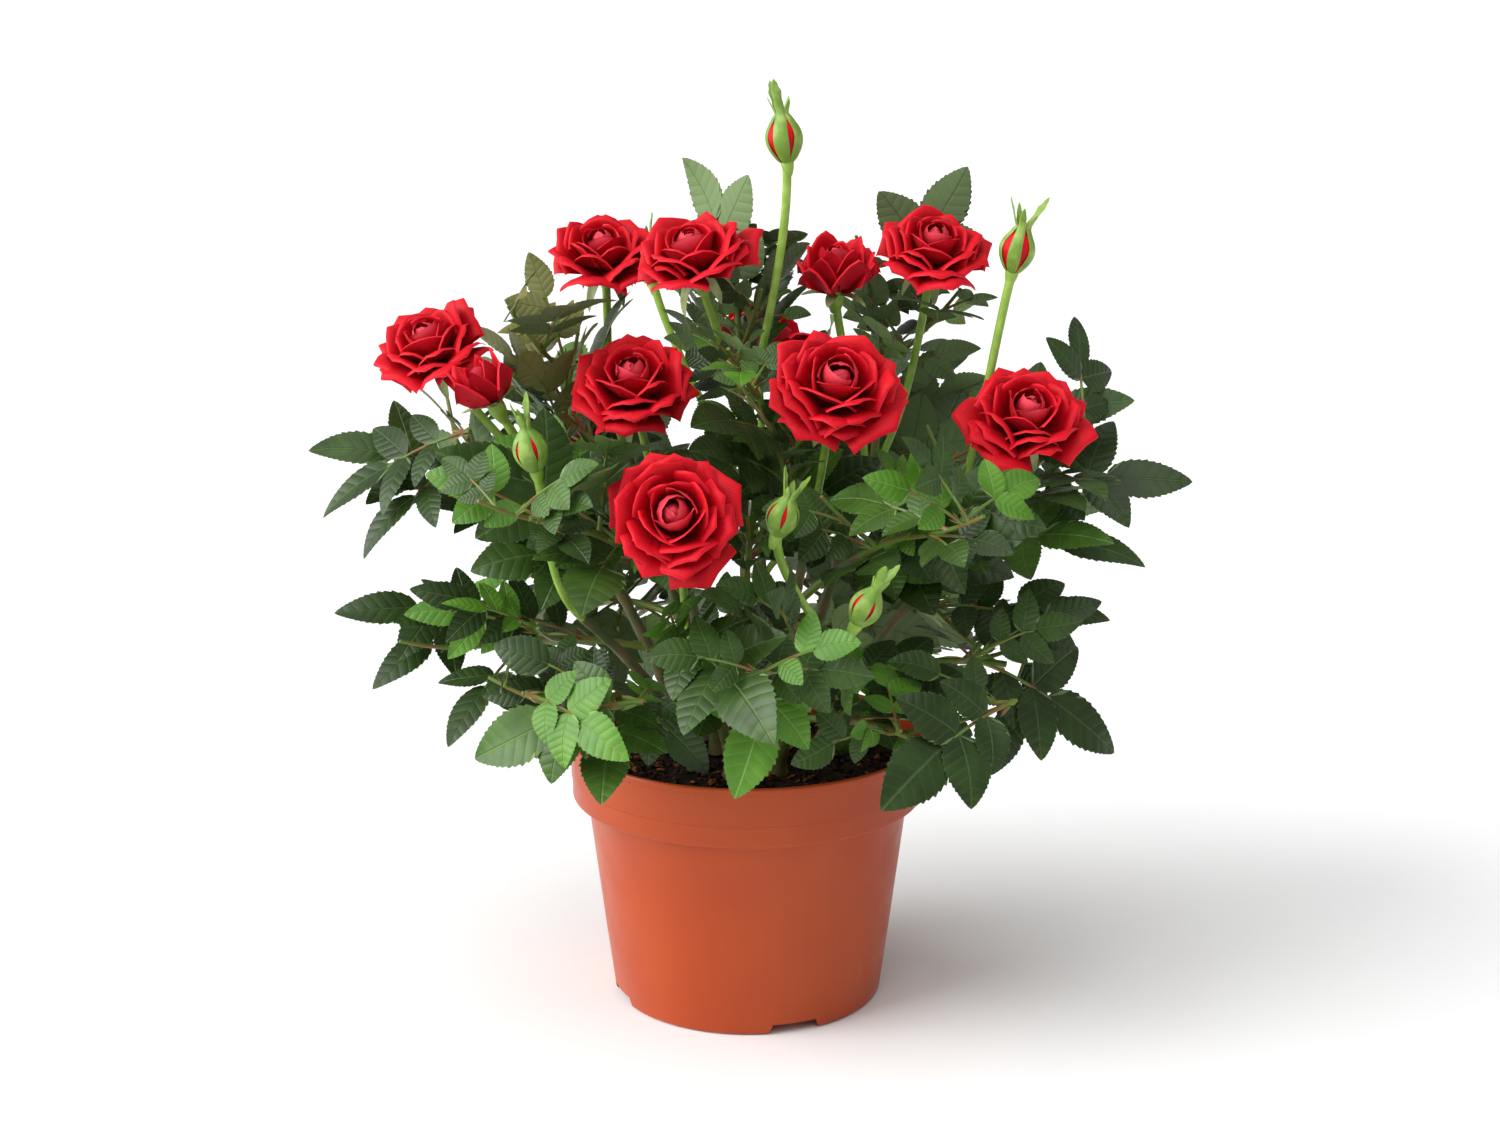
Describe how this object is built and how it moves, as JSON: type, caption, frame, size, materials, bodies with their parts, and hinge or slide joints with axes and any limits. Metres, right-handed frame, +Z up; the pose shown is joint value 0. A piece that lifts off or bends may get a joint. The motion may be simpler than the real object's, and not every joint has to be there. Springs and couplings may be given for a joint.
{
  "type": "potted rose bush",
  "caption": "Miniature rose bush with open red blooms, buds and pinnate leaves on slender canes, growing in a round tapered plastic pot that is filled with soil.",
  "frame": {"origin": "centre of the pot's foot ring, on the surface that the pot stands on", "axes": "+Z up along the pot's axis, +X to the right and +Y away from the viewer who faces the front of the bush"},
  "size_m": [0.29, 0.23, 0.3018],
  "materials": {
    "pot_plastic": "semi-gloss moulded, terracotta coloured",
    "peat_soil": "dark moist peat",
    "green_cane": "smooth green bark",
    "red_petal": "velvety",
    "green_bud": "satin",
    "rose_leaf": "semi-gloss leaf"
  },
  "bodies": {
    "root": {"pot": "pot_plastic", "soil": "peat_soil", "cane_left": "green_cane", "cane_left_front": "green_cane", "cane_front": "green_cane", "cane_front_right": "green_cane", "cane_mid_left": "green_cane", "cane_centre": "green_cane", "cane_back_left": "green_cane", "cane_centre_right": "green_cane", "cane_right": "green_cane", "cane_back_right": "green_cane", "cane_back": "green_cane", "bloom_front": "red_petal", "bloom_front_right": "red_petal", "bloom_right": "red_petal", "bloom_mid_left": "red_petal", "bloom_left": "red_petal", "bloom_top": "red_petal", "bloom_top_left": "red_petal", "bloom_top_right": "red_petal", "bloom_back": "red_petal", "bloom_back_left": "red_petal", "bloom_back_right": "red_petal", "half_top": "red_petal", "half_left": "red_petal", "bud_top": "green_bud", "bud_right": "green_bud", "bud_left": "green_bud", "bud_centre": "green_bud", "bud_low": "green_bud", "bud_back": "green_bud", "foliage_left_low": "rose_leaf", "foliage_left_high": "rose_leaf", "foliage_front_low_left": "rose_leaf", "foliage_front_middle": "rose_leaf", "foliage_front_high_left": "rose_leaf", "foliage_front_low_right": "rose_leaf", "foliage_front_high_right": "rose_leaf", "foliage_right_low": "rose_leaf", "foliage_right_high": "rose_leaf", "foliage_back_low_left": "rose_leaf", "foliage_back_low_right": "rose_leaf", "foliage_back_high_left": "rose_leaf", "foliage_back_high_right": "rose_leaf", "foliage_top_left": "rose_leaf", "foliage_top_middle": "rose_leaf", "foliage_top_right": "rose_leaf", "foliage_upper_front": "rose_leaf", "foliage_heart": "rose_leaf"}
  },
  "joints": []
}
